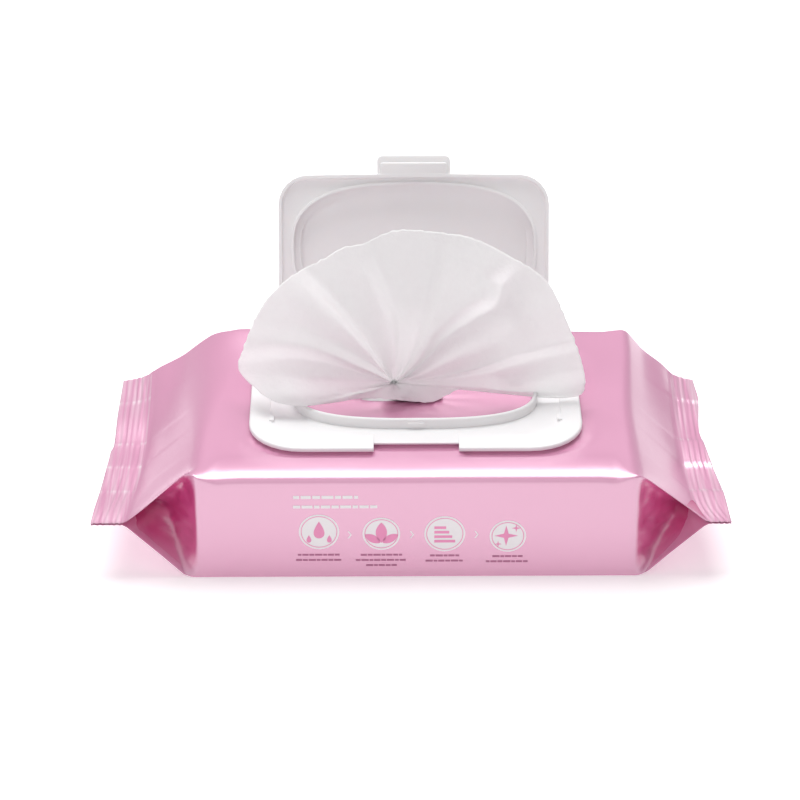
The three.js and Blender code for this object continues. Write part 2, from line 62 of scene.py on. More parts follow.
# %% [markdown]
# The camera comes early, because every size that shows is judged through it. It is a long lens a
# little over a metre away, looking down at 29 degrees, so that the sides of the pack hardly converge.
# Blender's tone curve for photographs would grey the whites, so the plain one is chosen.

# %% Camera
camera_data = bpy.data.cameras.new("camera")
camera_data.lens = 138.0
camera_data.sensor_width = 36.0
look_down = 29.0
camera = bpy.data.objects.new("camera", camera_data)
camera.location = (-0.01333, -1.00150, 0.59743)
camera.rotation_euler = (math.radians(90.0 - look_down), 0.0, math.radians(-0.44))
bpy.context.scene.collection.objects.link(camera)
bpy.context.scene.camera = camera
bpy.context.scene.view_settings.view_transform = "Standard"

# %% [markdown]
# A few small helpers serve every piece. One adds a shader node, one turns a written colour into
# Blender's linear one, one starts a material, and one turns a bmesh in millimetres into an object
# that rides on a CAD body. The last four blend numbers. A Mix node's colours are its inputs 6 and 7,
# because several of its inputs have the same name.


# %% Helpers
def add(tree, kind, inputs=None, **settings):
    """A node of one kind, with its settings, its input values and its links"""
    node = tree.nodes.new(kind)
    for name, value in settings.items():
        setattr(node, name, value)
    for name, value in (inputs or {}).items():
        if isinstance(value, bpy.types.NodeSocket):
            tree.links.new(value, node.inputs[name])
        else:
            node.inputs[name].default_value = value
    return node


def colour(hex_code):
    """An sRGB colour such as E7A4C5 as linear red, green, blue and alpha"""
    parts = [int(hex_code[i:i + 2], 16) / 255 for i in (0, 2, 4)]
    linear = [v / 12.92 if v <= 0.04045 else ((v + 0.055) / 1.055) ** 2.4 for v in parts]
    return (*linear, 1.0)


def new_material(name, **shader_inputs):
    """An empty material with one Principled shader, whose plain numbers are set on its own sockets"""
    material = bpy.data.materials.new(name)
    material.use_nodes = True
    tree = material.node_tree
    shader = tree.nodes["Principled BSDF"]
    for socket, value in shader_inputs.items():
        shader.inputs[socket.replace("_", " ")].default_value = value
    return material, tree, shader


def finished(name, bm, material, body, smooth_angle=180.0):
    """The object of a bmesh drawn in millimetres, shaded smooth up to an angle"""
    bmesh.ops.scale(bm, vec=(MM, MM, MM), verts=bm.verts)
    limit = math.radians(smooth_angle)
    for edge in bm.edges:
        edge.smooth = len(edge.link_faces) < 2 or edge.calc_face_angle(0.0) < limit
    for face in bm.faces:
        face.smooth = True
    mesh = bpy.data.meshes.new(name)
    bm.to_mesh(mesh)
    bm.free()
    mesh.materials.append(material)
    piece = bpy.data.objects.new(name, mesh)
    bpy.context.scene.collection.objects.link(piece)
    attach(piece, body)
    print(name, len(mesh.vertices), "vertices")
    return piece


def mix(a, b, share):
    """The value, or the point, at a share of the way from a to b"""
    return a + (b - a) * share


def smooth_step(low, high, value):
    """0 below low and 1 above high, with a soft rise between them"""
    share = min(max((value - low) / (high - low), 0.0), 1.0)
    return share * share * (3 - 2 * share)


def ramp(distance, softness):
    """0 before a bend and the distance itself after it, with the bend rounded off"""
    if distance <= -softness:
        return 0.0
    if distance >= softness:
        return distance
    return (distance + softness) ** 2 / (4 * softness)


def follow(points, place):
    """The value at a place on a smooth line through a few points, each a (place, value) pair"""
    index = 0
    while index < len(points) - 2 and place > points[index + 1][0]:
        index += 1
    (p0, v0), (p1, v1) = points[index], points[index + 1]
    before = points[max(index - 1, 0)]
    after = points[min(index + 2, len(points) - 1)]
    gap = p1 - p0
    slope0 = (v1 - before[1]) / (p1 - before[0]) * gap
    slope1 = (after[1] - v0) / (after[0] - p0) * gap
    t = min(max((place - p0) / gap, 0.0), 1.0)
    rise = (1 + 2 * t) * (1 - t) ** 2 * v0 + t * (1 - t) ** 2 * slope0
    return rise + t * t * (3 - 2 * t) * v1 - t * t * (1 - t) * slope1


# %% [markdown]
# The pouch is a laminate of two plastic films with a pearly pink ink between them. Flakes of mica
# coated with titanium dioxide float in the ink and throw a white sheen, stronger than plain plastic
# does. A clear coat with the flakes' high refractive index stands for them. Inside the tucked sides a
# deeper pink is painted into the colour: painted shade, for the shadow and the light bounced between
# pink film there. The heat seals at both ends are pressed by ribbed jaws, which leave pale streaks
# along the ribs.

# %% Material of the film: pearlised OPP laminate, printed and heat sealed, with painted shade in its tucked folds
pearl_film, tree, shader = new_material(
    "pearlised_opp_film", Metallic=0.1, Roughness=0.4,
    Coat_Weight=1.0, Coat_Roughness=0.26, Coat_IOR=2.3)
where = add(tree, "ShaderNodeTexCoord").outputs["Object"]

# Soft clouds of ink, about 45 mm across
clouds = add(tree, "ShaderNodeTexNoise", {"Vector": where, "Scale": 22.0, "Detail": 2.0})
open_ink = add(tree, "ShaderNodeMix", {
    "Factor": clouds.outputs["Fac"], 6: colour("E297BD"), 7: colour("E59EC2")}, data_type="RGBA")

# Painted shade: a deeper, darker pink in the tucked folds, read from the 'tucked' layer, for their
# shadow and bounced light
painted_fold_shade = add(tree, "ShaderNodeAttribute", attribute_name="tucked")
ink = add(tree, "ShaderNodeMix", {
    "Factor": painted_fold_shade.outputs["Fac"], 6: open_ink.outputs[2], 7: colour("CF4687")}, data_type="RGBA")

# Streaks in the seals, about 1 mm wide and 15 mm long
sealed = add(tree, "ShaderNodeAttribute", attribute_name="sealed")
stretched = add(tree, "ShaderNodeMapping", {"Vector": where, "Scale": (850.0, 22.0, 22.0)})
streaks = add(tree, "ShaderNodeTexNoise", {
    "Vector": stretched.outputs["Vector"], "Scale": 1.0, "Detail": 3.0})
pressed = add(tree, "ShaderNodeMapRange", {
    "Value": streaks.outputs["Fac"], "From Min": 0.42, "From Max": 0.7, "To Min": 0.0, "To Max": 0.5})
pale = add(tree, "ShaderNodeMath", {
    0: pressed.outputs["Result"], 1: sealed.outputs["Fac"]}, operation="MULTIPLY")
# The colour mixed here already holds the painted shade of the tucked folds
film_colour = add(tree, "ShaderNodeMix", {
    "Factor": pale.outputs["Value"], 6: ink.outputs[2], 7: colour("F8E2EC")}, data_type="RGBA")
tree.links.new(film_colour.outputs[2], shader.inputs["Base Color"])

# The film is never quite flat: slack waves about 12 mm apart, and a fine grain of 0.7 mm
slack = add(tree, "ShaderNodeTexNoise", {"Vector": where, "Scale": 80.0, "Detail": 3.0})
grain = add(tree, "ShaderNodeTexNoise", {"Vector": where, "Scale": 1400.0, "Detail": 1.0})
waves = add(tree, "ShaderNodeBump", {
    "Height": slack.outputs["Fac"], "Strength": 0.12, "Distance": 0.001})
film_bump = add(tree, "ShaderNodeBump", {
    "Height": grain.outputs["Fac"], "Strength": 0.06, "Distance": 0.0001,
    "Normal": waves.outputs["Normal"]})
tree.links.new(film_bump.outputs["Normal"], shader.inputs["Normal"])

# %% [markdown]
# The cap is moulded from white polypropylene. It is a slightly waxy plastic that lets a little light
# in, so its edges glow and its shadows stay soft. A faint mottle stands for the polished mould.

# %% Material of the cap: moulded white polypropylene
white_cap, tree, shader = new_material(
    "moulded_polypropylene", Roughness=0.36, IOR=1.49,
    Subsurface_Weight=0.25, Subsurface_Scale=0.0015)
shader.inputs["Subsurface Radius"].default_value = (1.0, 0.9, 0.85)
where = add(tree, "ShaderNodeTexCoord").outputs["Object"]
mottle = add(tree, "ShaderNodeTexNoise", {"Vector": where, "Scale": 60.0, "Detail": 2.0})
white = add(tree, "ShaderNodeMix", {
    "Factor": mottle.outputs["Fac"], 6: colour("F7F5F6"), 7: colour("F4F2F3")}, data_type="RGBA")
tree.links.new(white.outputs[2], shader.inputs["Base Color"])
polish = add(tree, "ShaderNodeTexNoise", {"Vector": where, "Scale": 700.0, "Detail": 2.0})
mould = add(tree, "ShaderNodeBump", {
    "Height": polish.outputs["Fac"], "Strength": 0.05, "Distance": 0.0001})
tree.links.new(mould.outputs["Normal"], shader.inputs["Normal"])

# %% [markdown]
# A wipe is a nonwoven cloth of viscose and polyester, bound by fine water jets. The jets leave a soft
# ripple about a millimetre apart, and being wet, the cloth lets light through. The ripple is drawn at
# 1.2 mm, a little coarser than the real one, so that it still shows at this distance.

# %% Material of the wipes: spunlaced nonwoven, wet
nonwoven, tree, shader = new_material(
    "spunlaced_nonwoven", Roughness=0.85, Sheen_Weight=0.15, Sheen_Roughness=0.5,
    Subsurface_Weight=0.8, Subsurface_Scale=0.004)
shader.inputs["Subsurface Radius"].default_value = (1.0, 0.95, 0.95)
where = add(tree, "ShaderNodeTexCoord").outputs["Object"]
density = add(tree, "ShaderNodeTexNoise", {"Vector": where, "Scale": 260.0, "Detail": 4.0})
cloth = add(tree, "ShaderNodeMix", {
    "Factor": density.outputs["Fac"], 6: colour("F6F4F5"), 7: colour("FBFAFA")}, data_type="RGBA")
tree.links.new(cloth.outputs[2], shader.inputs["Base Color"])
ripple = add(tree, "ShaderNodeTexNoise", {"Vector": where, "Scale": 800.0, "Detail": 3.0})
fibres = add(tree, "ShaderNodeTexNoise", {
    "Vector": where, "Scale": 300.0, "Detail": 5.0, "Distortion": 1.5})
soft = add(tree, "ShaderNodeBump", {
    "Height": fibres.outputs["Fac"], "Strength": 0.3, "Distance": 0.0006})
lace = add(tree, "ShaderNodeBump", {
    "Height": ripple.outputs["Fac"], "Strength": 0.35, "Distance": 0.0003,
    "Normal": soft.outputs["Normal"]})
tree.links.new(lace.outputs["Normal"], shader.inputs["Normal"])

# %% [markdown]
# A ring of hot glue holds the cap on the film. Hot melt is a cloudy, slightly yellow plastic that is
# sprayed on in beads. It hardly shows, so a faint change of tone is enough.

# %% Material of the glue: hot melt
hot_melt, tree, shader = new_material("hot_melt_glue", Roughness=0.3, IOR=1.48, Subsurface_Weight=0.3)
where = add(tree, "ShaderNodeTexCoord").outputs["Object"]
beads = add(tree, "ShaderNodeTexNoise", {"Vector": where, "Scale": 350.0})
amber = add(tree, "ShaderNodeMix", {
    "Factor": beads.outputs["Fac"], 6: colour("E9DFD6"), 7: colour("F4EEE8")}, data_type="RGBA")
tree.links.new(amber.outputs[2], shader.inputs["Base Color"])

# %% [markdown]
# The film is one tube that a machine folds round the wipes, tucks in at the sides and seals at both
# ends. It could be pieced together from panels, but the real one has no joins there, so here too it
# is one grid, closed into a tube, whose points are moved to where the folds put them.
#
# A station is a place along the pack: on the body, on a sloping wing past its end, or on a fin. The
# wing is measured in shares from 0, at the pack's end, to 1, at the root of the fin.

# %% Sizes of the pouch
half_length = 79.0
half_depth = pouch_high.y
height = pouch_high.z
fin_level = 21.8
fin_front = -half_depth + 1.0
fin_back = half_depth - 5.5
front_tuck = 23.0
back_tuck = 18.6
fold_round = 0.5
front_top_reach = (13.0, 3.4)
back_top_reach = (3.5, 3.5)
bottom_reach = (0.6, 0.7)
corner_depth = 1.3
crimp_pitch = 2.0
crimp_height = 0.24
crumple_size = 1.9
node_share = 0.69

# Each end's lines from the front, (place along Y, place along X) in millimetres: where the slope
# meets the fin, and the fin's cut edge. The reach is how far the upper front corner sticks out, the
# retreat how far it is drawn back, and the foot how far the lower front corner sticks out. The back
# reach is the same for the upper back corner. The node is where the creases of the tucked side meet,
# and node_share is its place along the wing. A corner's shift fades over corner_depth down a side.
ends = {
    -1: {
        "run": 22.2, "reach": 3.2, "retreat": 4.8, "foot": 4.5,
        "back_reach": 0.0, "back_softness": 14.0,
        "root": [(-55.5, 105.5), (-32, 102.8), (-6, 101.2), (31, 101.2), (51, 101.9)],
        "edge": [(-55.5, 117.7), (-9.2, 114.6), (-1.5, 114.3), (2.0, 113.5), (27.5, 113.6),
                 (51, 113.2)],
        "front_node": (90.6, -38.8, 21.0), "back_node": (92.5, 40.5, 21.0),
    },
    1: {
        "run": 20.0, "reach": 1.4, "retreat": 1.2, "foot": 3.3,
        "back_reach": 3.6, "back_softness": 2.0,
        "root": [(-55.5, 105.0), (-45.3, 101.6), (-33.8, 100.1), (-2.3, 98.9), (14.2, 98.9),
                 (51, 100.0)],
        "edge": [(-55.5, 113.7), (-30.7, 112.6), (-12.4, 110.3), (0.4, 108.9), (10.3, 108.0),
                 (35.3, 109.9), (51, 109.2)],
        "front_node": (93.4, -40.7, 21.0), "back_node": (91.0, 42.0, 21.0),
    },
}


# %% [markdown]
# A fin is several layers of film pressed together: two in the open part, four where the tucked sides
# lie between them, and more where the long seam under the pack runs into it. Each change of layers
# shows as a small step across the ribs.

# %% Thickness and ribs of the fins
def half_thickness(y):
    """Half the thickness of a fin at a place along it"""
    tucked_front = 1 - smooth_step(fin_front + front_tuck - 0.8, fin_front + front_tuck + 0.8, y)
    tucked_back = smooth_step(fin_back - back_tuck - 0.8, fin_back - back_tuck + 0.8, y)
    seam = smooth_step(-15.0, -13.4, y) * (1 - smooth_step(2.2, 3.8, y))
    return 0.22 + 0.2 * tucked_front + 0.2 * tucked_back + 0.24 * seam


layer_steps = (fin_front + front_tuck, -14.0, 3.0, fin_back - back_tuck)
band_lifts = (0.12, -0.07, 0.1, -0.08, 0.09)
band_whiteness = (0.9, 1.2, 0.7, 0.9, 1.1)


def band(y):
    """Which stretch of the fin a place is in, between two steps of its layers"""
    return sum(y > step for step in layer_steps)


def band_lift(side, y):
    """Each stretch of a fin lies a little higher or lower, with a pinched crease between two"""
    total = band_lifts[0] * side
    for index, step in enumerate(layer_steps):
        total += side * (band_lifts[index + 1] - band_lifts[index]) * smooth_step(-1.0, 1.0, y - step)
        total += 0.08 * math.exp(-((y - step) / 0.7) ** 2)
    return total


def rib(side, along, y, width):
    """Height of the ribs at a distance from the root, irregular as pressed film is"""
    number = band(y)
    shift = 1.3 * number + side * 0.8 + 1.1 * noise.noise(Vector((y / 26, number * 7.0, side * 5.0)))
    strength = 0.7 + 1.8 * noise.noise(Vector((along / 3.1, y / 16, number * 3.0 + side)))
    fade = smooth_step(0.0, 1.5, along) * (1 - smooth_step(width - 0.8, width + 0.4, along) * 0.5)
    return crimp_height / 2 * strength * fade * math.sin(along / crimp_pitch * 2 * math.pi + shift)


def warp(side, y):
    """The fins aren't quite level"""
    return 0.45 * math.sin(y / 13 + side) + 0.25 * math.sin(y / 5.3 + 2 * side) + band_lift(side, y)


# %% [markdown]
# The top and the bottom panel run level over the wipes, bend down or up at the pack's end, and bend
# level again where they meet in the fin. How soft these bends are differs from place to place: crisp
# at the front, and very soft at the back of the left end.

# %% Levels of the top and bottom panel
def end_line(side, y, is_top):
    """Where the pack's end is, with its corners drawn out"""
    end = ends[side]
    from_corner = max(y + half_depth - (end["retreat"] if is_top else 0.0), 0.0)
    at_back = end["back_reach"] * smooth_step(-10.0, half_depth, y) if is_top else 0.0
    return half_length + end["reach" if is_top else "foot"] * math.exp(-from_corner / 3.0) + at_back


def lift_of_fin(end, past, back):
    """Towards the back a fin rises to its root, because nothing pulls it flat there"""
    beyond = past - end["run"]
    nearness = math.exp(-beyond / 6.5) if beyond > 0 else smooth_step(-14.0, 0.0, beyond)
    return 4.4 * back ** 2 * nearness


def panel_level(side, past, y, is_top):
    """Height of the top or bottom panel at a distance past the pack's end"""
    end = ends[side]
    back = smooth_step(-half_depth * 0.6, half_depth, y)
    bend = mix(2.5, end["back_softness"], back)
    middle = fin_level + warp(side, y) * smooth_step(0.6 * end["run"], end["run"], past)
    thick = half_thickness(y)
    lift = lift_of_fin(end, past, back)
    if is_top:
        goal = middle + thick
        fall = (height - goal) / end["run"]
        level = goal + ramp(height - fall * ramp(past, bend) - goal, 1.5) + lift
    else:
        goal = middle - thick
        rise = goal / end["run"]
        level = goal - ramp(goal - rise * ramp(past, min(bend, 5.0)), 1.5) + lift
    if past > end["run"]:
        width = follow(end["edge"], y) - follow(end["root"], y)
        level += rib(side, past - end["run"], y, width)
    return level


# %% The panels' long edges
def edge_place(station, face, is_top):
    """How far to the front or back a panel reaches, with the upper front corners drawn back"""
    side, kind, value = station
    retreat = ends[side]["retreat"] if face < 0 and is_top else 0.0
    if kind == "body":
        return face * (half_depth - retreat * math.exp((abs(value) - half_length) / 1.4))
    share = value if kind == "wing" else 1.0
    return mix(face * (half_depth - retreat), fin_front if face < 0 else fin_back, share)


# %% The film round the cap's plate
slack_height = 0.6
sag_depth = 1.1
pucker_height = 0.32
plate_half_length = 61.3
plate_half_depth = 41.5
plate_middle = 2.5
plate_corner = 20.0
notch_half_length = 15.5
notch_depth = 5.2


def slack_film(x, y):
    """The small swell of a film that isn't pulled tight"""
    return slack_height * noise.noise(Vector((x / 34, y / 42, 3.0)))


def plate_distance(x, y):
    """Distance outside the outline of the cap's plate, with the finger notch in its front"""
    cut = notch_depth / 2 if abs(x) < notch_half_length and y < 0 else 0.0
    off_x = abs(x) - (plate_half_length - plate_corner)
    off_y = abs(y - plate_middle - cut) - (plate_half_depth - cut - plate_corner)
    beyond = math.hypot(max(off_x, 0.0), max(off_y, 0.0))
    return beyond + min(max(off_x, off_y), 0.0) - plate_corner


def top_relief(x, y):
    """The film sags round the glued plate, puckers towards the slot and puffs up near its edges"""
    outside = plate_distance(x, y)
    sag = -sag_depth * math.exp(-((outside - 0.8) / 2.0) ** 2)
    turn = math.atan2(y - 3.0, x - 1.0)
    from_slot = max(math.hypot(x / 2.2, y - 3.0) - 3.0, 0.0)
    ripple = math.sin(turn * 15 + 0.6 * math.sin(turn * 3))
    pucker = pucker_height * ripple * math.exp(-from_slot / 8.0)
    inside_ring = smooth_step(1.0, 0.92, math.hypot(x / 44, y / 22.5))
    puffed = 2.2 * math.exp(-((x + 66) / 17) ** 2 - ((y - 57) / 16) ** 2)
    puffed += 0.8 * math.exp(-((x - 45) / 25) ** 2 - ((y - 57) / 12) ** 2)
    puffed += 1.1 * math.exp(-((y + 52) / 9) ** 2) * (1 - smooth_step(64, 78, abs(x)))
    return sag + pucker * inside_ring + puffed


# %% A point of the top or bottom panel
seam_lines = (3.0, -14.0)


def panel_point(station, y, is_top):
    """A point of the top or bottom panel"""
    side, kind, value = station
    if kind == "body":
        past = abs(value) - half_length
        stretch = smooth_step(-16, 0, past)
        x = math.copysign(abs(value) + (end_line(side, y, is_top) - half_length) * stretch, side)
    elif kind == "wing":
        past = value * ends[side]["run"]
        x = side * mix(end_line(side, y, is_top), follow(ends[side]["root"], y), value)
    else:
        root = follow(ends[side]["root"], y)
        width = follow(ends[side]["edge"], y) - root
        past = ends[side]["run"] + value * width
        x = side * (root + value * width)
    level = panel_level(side, past, y, is_top)
    if is_top:
        flat = 1 - smooth_step(ends[side]["run"] - 5, ends[side]["run"], past)
        under_cap = smooth_step(1.0, 7.0, plate_distance(x, y))
        level += slack_film(x, y) * flat * (0.2 + 0.8 * smooth_step(-4, 8, past)) * under_cap
        level += top_relief(x, y) * flat
    else:
        groove = max(math.exp(-((y - line) / 0.45) ** 2) for line in seam_lines)
        level += 0.45 * groove * (1 - smooth_step(-3, 2, past))
    return Vector((x, y, level))


# %% [markdown]
# The side panel stands upright along the pack. Past its end the machine has poked it inwards, so it
# folds into three flat panes: a triangle against the end of the wipes, and an upper and a lower pane
# that meet in a crease. A point on it is found from its share along the wing and from how far down
# the side it lies, as if the film were unfolded and then folded again.

# %% The tucked sides
def side_point(station, face, down):
    """A point of the front or back side panel, down from 0 at its top to 1 at its bottom"""
    side, kind, value = station
    if kind == "body":
        high = panel_point(station, edge_place(station, face, True), True)
        point = mix(high, panel_point(station, edge_place(station, face, False), False), down)
        to_edge = -height / corner_depth
        corner = math.exp(down * to_edge) + math.exp((1 - down) * to_edge)
        point.x = mix(math.copysign(abs(value), side), point.x, min(corner, 1.0))
        point.y = mix(face * half_depth, point.y, min(corner, 1.0))
        return point
    to_middle = 1 - abs(2 * down - 1)
    is_top = down < 0.5
    tuck = (front_tuck if face < 0 else back_tuck) * -face
    if kind == "wing":
        return wing_side_point(side, face, down, to_middle, is_top, tuck, value)
    y = edge_place(station, face, is_top) + tuck * to_middle
    point = panel_point(station, y, is_top)
    middle = fin_level + warp(side, y)
    wave = point.z - (middle + (half_thickness(y) if is_top else -half_thickness(y)))
    layer = half_thickness(y) * (0.75 * (1 - to_middle) + 0.05)
    point.z = middle + wave + (layer if is_top else -layer)
    return point


def crumple(side, face, down, share):
    """Sharp little ridges in a tucked side, strongest between its edges and near its middle crease"""
    to_middle = 1 - abs(2 * down - 1)
    seed = 11.0 * side + 5.0 * face
    fan = noise.noise(Vector((share * 3.0, down * 13.0, seed)))
    small = noise.noise(Vector((share * 9.0, down * 17.0, seed + 3)))
    ridge = 1.5 * (0.22 - abs(fan)) + 0.7 * (0.2 - abs(small))
    strength = smooth_step(0.0, 0.3, to_middle) * smooth_step(0.0, 0.25, share)
    strength *= 1 - smooth_step(0.8, 1.0, share)
    return Vector((side * 0.5, face * 0.85, 0.0)) * ridge * strength * crumple_size


def wing_side_point(side, face, down, to_middle, is_top, tuck, share):
    """A point of a tucked side between the pack's end and the fin"""
    start = (side, "wing", 0.0)
    finish = (side, "wing", 1.0)
    here = (side, "wing", share)
    node_x, node_y, node_z = ends[side]["front_node" if face < 0 else "back_node"]
    node = Vector((side * node_x, node_y, node_z))
    corner = panel_point(start, edge_place(start, face, is_top), is_top)
    other = panel_point(start, edge_place(start, face, not is_top), not is_top)
    outside = panel_point(finish, edge_place(finish, face, is_top), is_top)
    inside = outside.copy()
    inside.y += tuck
    inside.x = side * follow(ends[side]["root"], inside.y)
    inside.z = fin_level + warp(side, inside.y)
    diagonal = mix(corner, node, to_middle)
    turn = node_share * to_middle
    if share <= turn:
        upright = mix(corner, other, to_middle / 2)
        sprout = math.exp(-to_middle / 2 * height / corner_depth)
        upright.x = side * (half_length + (abs(corner.x) - half_length) * sprout)
        upright.y = face * half_depth + (corner.y - face * half_depth) * sprout
        return mix(upright, diagonal, share / max(turn, 1e-6)) + crumple(side, face, down, share)
    after = (share - turn) / (1 - turn)
    point = mix(diagonal, mix(outside, inside, to_middle), after)
    edge = panel_point(here, edge_place(here, face, is_top), is_top)
    straight = mix(corner, outside, share)
    return point + (edge - straight) * (1 - to_middle) ** 2 + crumple(side, face, down, share)


# %% [markdown]
# Now the stations and the columns are laid out. A column is a line along the pack, and they go once
# round it: bottom, front, top and back, with a rounded fold between each two. The spacing is fine
# where something happens, and the tucked side has as many columns to its middle crease as the wing
# has stations to the node, so that the slanting creases run exactly through the grid's corners.

# %% Stations and columns
side_steps = 16
fin_steps = 36
arc_steps = 8
top_steps = 78
under_steps = 40
outer_steps = 14
first_down = fold_round / height


def body_places():
    """Places along the body, closer together near its ends and over the slot"""
    places = []
    x = -half_length + 0.8
    while x < half_length - 0.7:
        places.append(x)
        near_end = half_length - abs(x) < 11
        over_slot = abs(x + 5.5) < 20
        x += 0.9 if near_end else (1.5 if over_slot else 3.0)
    return places


def end_stations(side):
    """From the fin's cut edge to the pack's end"""
    stations = [(side, "fin", 1 - step / fin_steps) for step in range(fin_steps)]
    outer = [mix(1.0, node_share, step / outer_steps) for step in range(outer_steps)]
    downs = [first_down + (1 - 2 * first_down) * step / (2 * side_steps)
             for step in range(side_steps, 0, -1)]
    inner = [node_share * min(2 * down, 1.0) for down in downs]
    stations += [(side, "wing", share) for share in outer + inner]
    stations.append((side, "wing", 0.0))
    return stations


# %% All stations and columns
stations = end_stations(-1)
stations += [(-1 if x < 0 else 1, "body", x) for x in body_places()]
stations += reversed(end_stations(1))

# The underside has extra columns at the two edges of the folded seam
under = [step / under_steps for step in range(under_steps)]
under += [(half_depth - line + step) / (2 * half_depth)
          for line in seam_lines for step in (-0.9, -0.45, 0.0, 0.45, 0.9)]
columns = [("bottom", share) for share in sorted(under)]
round_the_tube = [("front_low", arc_steps), ("front", 2 * side_steps), ("front_high", arc_steps),
                  ("top", top_steps), ("back_high", arc_steps), ("back", 2 * side_steps),
                  ("back_low", arc_steps)]
for part, count in round_the_tube:
    shares = [step / count for step in range(count)]
    columns += [(part, 1 - share if part == "front" else share) for share in shares]
columns.append(("back_low", 1.0))
print(len(stations), "stations and", len(columns), "columns")


# %% The rounded folds between the panels
def fold_size(station, face, is_top):
    """How far a long fold reaches over its panel and down the side: crisp past the pack's corners"""
    kind, value = station[1:]
    if kind != "body":
        return fold_round, fold_round
    crisp = smooth_step(-8, 0, abs(value) - half_length) ** 0.7
    top_reach = front_top_reach if face < 0 else back_top_reach
    on_panel, on_side = top_reach if is_top else bottom_reach
    return mix(on_panel, fold_round, crisp), mix(on_side, fold_round, crisp)


def down_side(top_fold, bottom_fold, share):
    """How far down the side panel a column lies, between the rounded folds"""
    return mix(top_fold[1] / height, 1 - bottom_fold[1] / height, share)


def film_point(station, column):
    """The place of one of the grid's corners"""
    part, share = column
    face = -1 if part.startswith("front") else 1
    top_fold = fold_size(station, face, True)
    bottom_fold = fold_size(station, face, False)
    is_top = part == "top" or part.endswith("high")
    front = edge_place(station, -1, is_top)
    back = edge_place(station, 1, is_top)
    if part == "bottom":
        return panel_point(station, mix(back - bottom_fold[0], front + bottom_fold[0], share), False)
    if part == "top":
        front_fold = fold_size(station, -1, True)[0]
        back_fold = fold_size(station, 1, True)[0]
        return panel_point(station, mix(front + front_fold, back - back_fold, share), True)
    if part in ("front", "back"):
        return side_point(station, face, down_side(top_fold, bottom_fold, share))
    edge = front if face < 0 else back
    on_panel = panel_point(station, edge - face * (top_fold if is_top else bottom_fold)[0], is_top)
    corner = panel_point(station, edge, is_top)
    on_side = side_point(station, face, down_side(top_fold, bottom_fold, 0.0 if is_top else 1.0))
    towards_side = part in ("front_low", "back_high")
    t = share if towards_side else 1 - share
    return on_panel * (1 - t) ** 2 + corner * 2 * t * (1 - t) + on_side * t * t


# %% [markdown]
# The grid is made with one operator, and each corner is then moved to its place. The two long edges
# meet under the pack and are merged. Where the tucked sides fold, a few rounds of smoothing take the
# paper-sharp look off the creases, because film of this thickness never folds quite sharp.

# %% The film tube
film = bmesh.new()
across = len(columns) - 1
bmesh.ops.create_grid(film, x_segments=len(stations) - 1, y_segments=across, size=0.5)
seal_layer = film.verts.layers.float.new("sealed")
# The 'tucked' layer holds painted shade for the tucked sides; the film's material darkens its pink by
# it
painted_shade_layer = film.verts.layers.float.new("tucked")
tucked = []
for vertex in film.verts:
    i = round((vertex.co.x + 0.5) * (len(stations) - 1))
    j = round((vertex.co.y + 0.5) * across)
    station = stations[i]
    part, share = columns[j]
    on_side = part in ("front", "back") and 0 < share < 1
    if station[1] == "wing" and on_side:
        tucked.append(vertex)
        to_middle = 1 - abs(2 * share - 1)
        # Painted shade: full inside a tucked side, fading to its edges and to the pack's end, weaker
        # towards its bottom fold
        depth = smooth_step(0.0, 0.1, to_middle) * smooth_step(0.0, 0.03, station[2])
        lower = smooth_step(0.55, 1.0, 1 - to_middle) * (share > 0.5)
        vertex[painted_shade_layer] = depth * (1 - 0.6 * lower)
    vertex.co = film_point(station, (part, share))
    crease = max(math.exp(-((vertex.co.y - step) / 0.8) ** 2) for step in layer_steps)
    whiteness = band_whiteness[band(vertex.co.y)] + 1.6 * crease
    vertex[seal_layer] = whiteness if station[1] == "fin" else 0.0
bmesh.ops.remove_doubles(film, verts=film.verts, dist=0.001)
print("film:", len(film.verts), "corners")

# %% [markdown]
# The slot is cut in the top: the corners nearest to its outline are moved onto it, and the faces
# inside are removed.

# %% The slot in the top
slot_half_length = 16.0
slot_half_width = 3.75
slot_left = 5.5
slot_back = 3.35
slot_power = 2.75
near_top = height - 5


def slot_measure(x, y):
    """Below 1 inside the slot, 1 on its outline"""
    along = abs((x + slot_left) / slot_half_length)
    total = along ** slot_power + abs((y - slot_back) / slot_half_width) ** slot_power
    return total ** (1 / slot_power)


for vertex in film.verts:
    if vertex.co.z > near_top:
        reach = slot_measure(vertex.co.x, vertex.co.y)
        off = abs(reach - 1) * min(abs(vertex.co.x + slot_left) + 1.0, slot_half_width)
        if reach > 0 and off < 0.75:
            vertex.co.x = -slot_left + (vertex.co.x + slot_left) / reach
            vertex.co.y = slot_back + (vertex.co.y - slot_back) / reach
inside = [face for face in film.faces
          if face.calc_center_median().z > near_top
          and slot_measure(*face.calc_center_median().xy) < 0.99]
bmesh.ops.delete(film, geom=inside, context="FACES")
for _ in range(2):
    bmesh.ops.smooth_vert(film, verts=[v for v in tucked if v.is_valid], factor=0.35,
                          use_axis_x=True, use_axis_y=True, use_axis_z=True)
bmesh.ops.recalc_face_normals(film, faces=film.faces)
film_pouch = finished("pouch_film", film, pearl_film, "pack")
wall = film_pouch.modifiers.new("wall", "SOLIDIFY")
wall.thickness = 0.12 * MM
wall.offset = -1.0
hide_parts("film_pouch")
